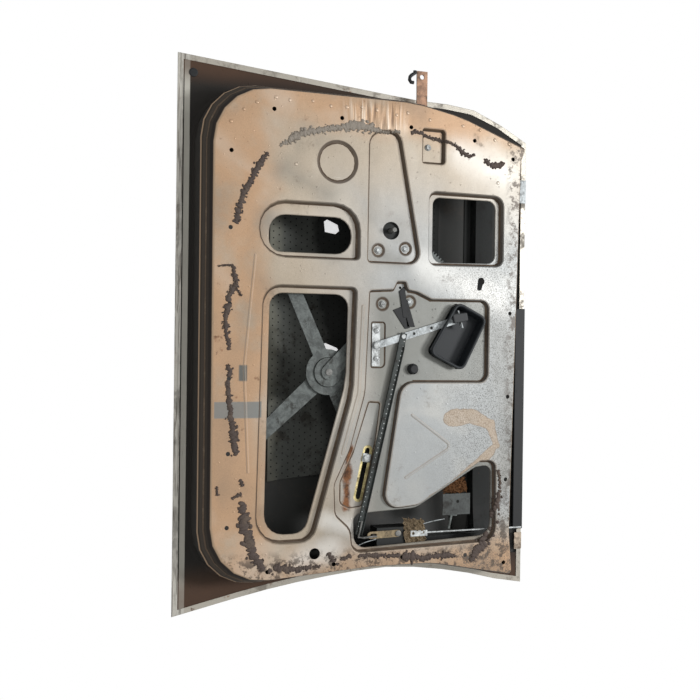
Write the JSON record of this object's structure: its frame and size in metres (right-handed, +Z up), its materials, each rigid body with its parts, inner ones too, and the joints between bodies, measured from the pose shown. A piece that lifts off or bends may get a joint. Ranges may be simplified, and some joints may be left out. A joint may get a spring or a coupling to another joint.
{
  "type": "car_door_shell",
  "caption": "Right-hand front car door shell without trim, with crossed-arm window regulator, winder spindle, release lever, handle cup, link, latch and lock rod",
  "frame": {"origin": "centre of the lower hinge face on the front wall of the door", "axes": "+X towards the rear of the door, +Y towards the outer skin, +Z up to the belt line; the inner side faces -Y"},
  "size_m": [1.0066, 0.1145, 0.7],
  "materials": {
    "panel_paint": "metallic champagne paint, scuffed, with light rust at edges",
    "skin_paint": "primer and overspray on the inner side, metallic champagne on the outer side",
    "galvanised": "dull galvanised sheet",
    "zinc": "bright zinc plating",
    "yellow_zinc": "yellow passivated zinc plating",
    "steel": "bare greased steel",
    "black_plastic": "moulded black plastic",
    "rubber": "black rubber",
    "pad": "bitumen felt sound pad, dusty",
    "copper_paint": "copper-toned body paint",
    "dark_steel": "dark oiled steel"
  },
  "bodies": {
    "door": {"belt_bracket": "zinc", "belt_rail": "dark_steel", "belt_weatherstrip": "rubber", "bracket_screw_1": "zinc", "bracket_screw_2": "zinc", "check_hook": "rubber", "check_strap": "copper_paint", "claw_pin": "steel", "clutch_drum": "steel", "corner_plug": "rubber", "crank_pin": "steel", "front_run_bolt": "zinc", "front_run_strap": "galvanised", "glass_run_front": "dark_steel", "glass_run_rear": "dark_steel", "guide_rail": "yellow_zinc", "handle_cup": "black_plastic", "inner_panel": "panel_paint", "latch_case": "dark_steel", "lever_bracket": "zinc", "lever_rivet": "zinc", "lift_pivot_stud": "steel", "outer_skin": "skin_paint", "rear_belt_bracket": "copper_paint", "rear_run_bracket": "galvanised", "regulator_base": "galvanised", "regulator_bolt_1": "zinc", "regulator_bolt_2": "zinc", "regulator_bolt_3": "zinc", "regulator_bolt_4": "zinc", "rod_clip": "rubber", "rubber_strap": "rubber", "sound_pad": "pad"},
    "lift": {"lift_arm": "galvanised", "lift_arm_tail": "galvanised", "crossing_disc": "galvanised", "crossing_rivet": "steel", "lift_roller": "black_plastic", "lift_roller_stud": "steel"},
    "cross": {"cross_arm": "galvanised", "cross_roller": "black_plastic", "cross_roller_stud": "steel", "guide_stud": "zinc"},
    "slider": {"guide_slider": "zinc"},
    "winder": {"winder_spindle": "steel"},
    "lever": {"release_lever": "zinc", "link_rivet": "zinc"},
    "link": {"link_bar": "dark_steel", "latch_rod": "steel"},
    "crank": {"latch_crank": "yellow_zinc"},
    "claw": {"latch_claw": "steel"},
    "lock": {"sill_rod": "zinc"}
  },
  "joints": [
    {"name": "lift_turn", "type": "hinge", "parent": "door", "child": "lift", "pos_m": [0.3882, -0.0115, 0.20202], "axis": [0, -1, 0], "range_deg": [0, 66]},
    {"name": "cross_turn", "type": "hinge", "parent": "lift", "child": "cross", "pos_m": [0.50305, -0.0085, 0.07547], "axis": [0, -1, 0], "range_deg": [-133, 0]},
    {"name": "slider_turn", "type": "hinge", "parent": "cross", "child": "slider", "pos_m": [0.6589, -0.024, 0.1456], "axis": [0, -1, 0], "range_deg": [0, 66.5]},
    {"name": "winder_turn", "type": "hinge", "parent": "door", "child": "winder", "pos_m": [0.2422, -0.011, 0.18802], "axis": [0, -1, 0], "range_deg": [-1010, 0]},
    {"name": "lever_pull", "type": "hinge", "parent": "door", "child": "lever", "pos_m": [0.4532, -0.03, 0.161], "axis": [0, 1, 0], "range_deg": [0, 14], "stiffness_Nm_per_rad": 0.4, "springref_deg": -5.73},
    {"name": "link_turn", "type": "hinge", "parent": "lever", "child": "link", "pos_m": [0.4362, -0.032, 0.2128], "axis": [0, 1, 0], "range_deg": [-14, 0]},
    {"name": "crank_turn", "type": "hinge", "parent": "door", "child": "crank", "pos_m": [0.8012, -0.017, 0.2121], "axis": [0, -1, 0], "range_deg": [0, 16]},
    {"name": "claw_turn", "type": "hinge", "parent": "door", "child": "claw", "pos_m": [0.84672, -0.0021, 0.2051], "axis": [1, 0, 0], "range_deg": [0, 60]},
    {"name": "lock_slide", "type": "slide", "parent": "door", "child": "lock", "axis": [0, 0, 1], "range_m": [0, 0.012]}
  ],
  "couplings": [
    {"joint": "cross_turn", "follows": "lift_turn", "ratio": -2},
    {"joint": "slider_turn", "follows": "lift_turn", "ratio": 1},
    {"joint": "winder_turn", "follows": "lift_turn", "ratio": -15.222},
    {"joint": "link_turn", "follows": "lever_pull", "ratio": -1},
    {"joint": "crank_turn", "follows": "lever_pull", "ratio": 1.14}
  ]
}
